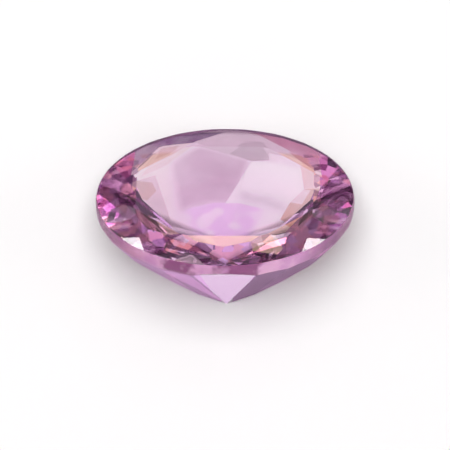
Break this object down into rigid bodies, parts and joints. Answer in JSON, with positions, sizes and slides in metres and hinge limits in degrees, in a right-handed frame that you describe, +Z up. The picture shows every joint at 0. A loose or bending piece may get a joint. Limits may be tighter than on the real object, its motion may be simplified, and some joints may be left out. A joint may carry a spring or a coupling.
{
  "type": "oval-cut amethyst gemstone",
  "caption": "Clear violet oval-cut gemstone with a flat table, a low faceted crown, a thick rounded girdle and a deep pointed pavilion, lying on a pavilion facet.",
  "frame": {"origin": "middle of the stone's box, on the surface that it lies on", "axes": "+X along the oval's long axis, +Z up from the surface, +Y towards the side that the table tilts to"},
  "size_m": [0.018, 0.0122, 0.012],
  "materials": {
    "amethyst_crystal": "polished clear crystal, pale pink violet, with a fine-ground girdle"
  },
  "bodies": {
    "root": {"amethyst": "amethyst_crystal"}
  },
  "joints": []
}
